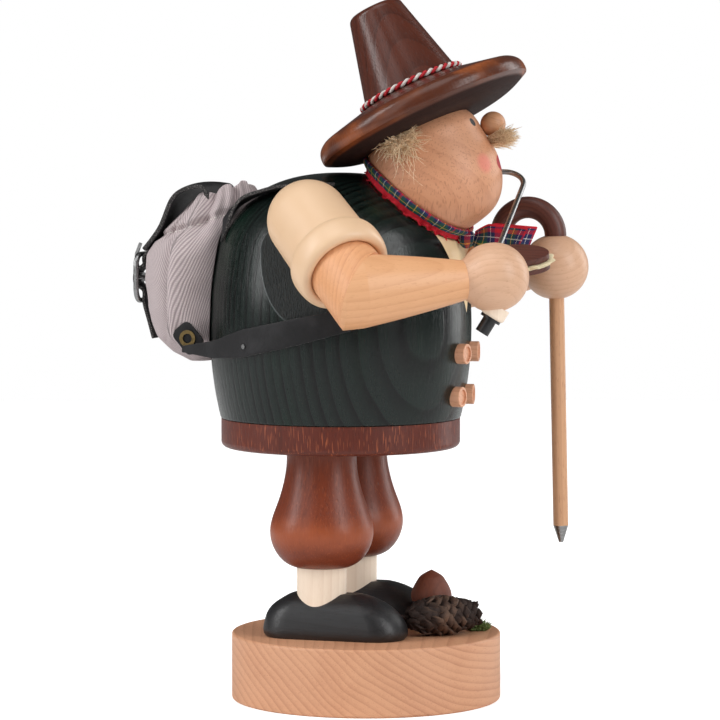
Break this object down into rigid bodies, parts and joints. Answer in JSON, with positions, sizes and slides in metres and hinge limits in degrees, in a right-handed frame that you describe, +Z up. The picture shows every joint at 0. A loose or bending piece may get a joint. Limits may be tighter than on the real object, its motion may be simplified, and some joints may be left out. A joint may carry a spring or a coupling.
{
  "type": "incense smoker",
  "caption": "Turned wooden incense smoker of a hiker with hat, pipe, stick and rucksack; the body lifts off to reach the incense plate.",
  "frame": {"origin": "centre of the base's underside", "axes": "+Z up; the figure looks along -Y; its right side is -X"},
  "size_m": [0.1848, 0.1811, 0.2782],
  "materials": {
    "base_wood": "satin",
    "shoe_wood": "satin",
    "sock_wood": "satin",
    "breeches_wood": "satin",
    "waist_wood": "satin",
    "body_wood": "satin",
    "button_wood": "satin",
    "sleeve_wood": "satin",
    "elbow_wood": "satin",
    "forearm_wood": "satin",
    "hand_wood": "satin",
    "head_wood": "satin",
    "nose_wood": "satin",
    "hat_wood": "satin",
    "stick_wood": "satin",
    "crook_wood": "satin",
    "bread_wood": "matt",
    "collar_wood": "satin",
    "bowl_black": "satin",
    "dowel_wood": "matt",
    "mushroom_wood": "matt",
    "stem_wood": "matt",
    "cone_scales": "matt",
    "moss": "matt",
    "flax": "matt",
    "filling": "matt",
    "hat_cord": "matt",
    "tartan": "matt",
    "twill": "matt",
    "black_leather": "satin",
    "nickel": "polished",
    "brass": "polished",
    "steel": "satin",
    "tin": "satin"
  },
  "bodies": {
    "lower_part": {"base_disc": "base_wood", "shoe_right": "shoe_wood", "shoe_left": "shoe_wood", "sock_right": "sock_wood", "sock_left": "sock_wood", "breeches_right": "breeches_wood", "breeches_left": "breeches_wood", "waist_disc": "waist_wood", "foot_dowels": "dowel_wood", "hip_dowels": "dowel_wood", "incense_plate": "tin", "plate_tack": "steel", "mushroom_stem": "stem_wood", "mushroom_cap": "mushroom_wood", "pine_cone": "cone_scales", "moss_tuft": "moss"},
    "upper_part": {"body_shell": "body_wood", "vest_buttons": "button_wood", "neck_dowel": "dowel_wood", "head": "head_wood", "nose": "nose_wood", "moustache": "flax", "hair_tufts": "flax", "hat": "hat_wood", "hat_dowel": "dowel_wood", "hat_cord": "hat_cord", "sleeve_right": "sleeve_wood", "sleeve_left": "sleeve_wood", "elbow_right": "elbow_wood", "elbow_left": "elbow_wood", "forearm_right": "forearm_wood", "forearm_left": "forearm_wood", "hand_right": "hand_wood", "hand_left": "hand_wood", "shoulder_dowels": "dowel_wood", "elbow_dowels": "dowel_wood", "wrist_dowels": "dowel_wood", "pipe_stem": "steel", "bowl_collar": "collar_wood", "bowl_end": "bowl_black", "bread_top": "bread_wood", "bread_filling": "filling", "bread_bottom": "bread_wood", "stick_shaft": "stick_wood", "stick_crook": "crook_wood", "stick_tip": "tin", "neck_scarf": "tartan", "scarf_knot": "tartan", "scarf_tails": "tartan", "pack_bag": "twill", "pack_lid": "black_leather", "lid_strap": "black_leather", "buckle_frame": "nickel", "shoulder_straps": "black_leather", "side_straps": "black_leather", "strap_nails": "nickel", "strap_tabs": "black_leather", "tab_eyelets": "brass"},
    "prong": {"buckle_prong": "nickel"}
  },
  "joints": [
    {"name": "body_lift", "type": "slide", "parent": "lower_part", "child": "upper_part", "axis": [0, 0, 1], "range_m": [0, 0.06]},
    {"name": "prong_pivot", "type": "hinge", "parent": "upper_part", "child": "prong", "pos_m": [0, 0.0944, 0.1668], "axis": [-1, 0, 0], "range_deg": [0, 60]}
  ]
}
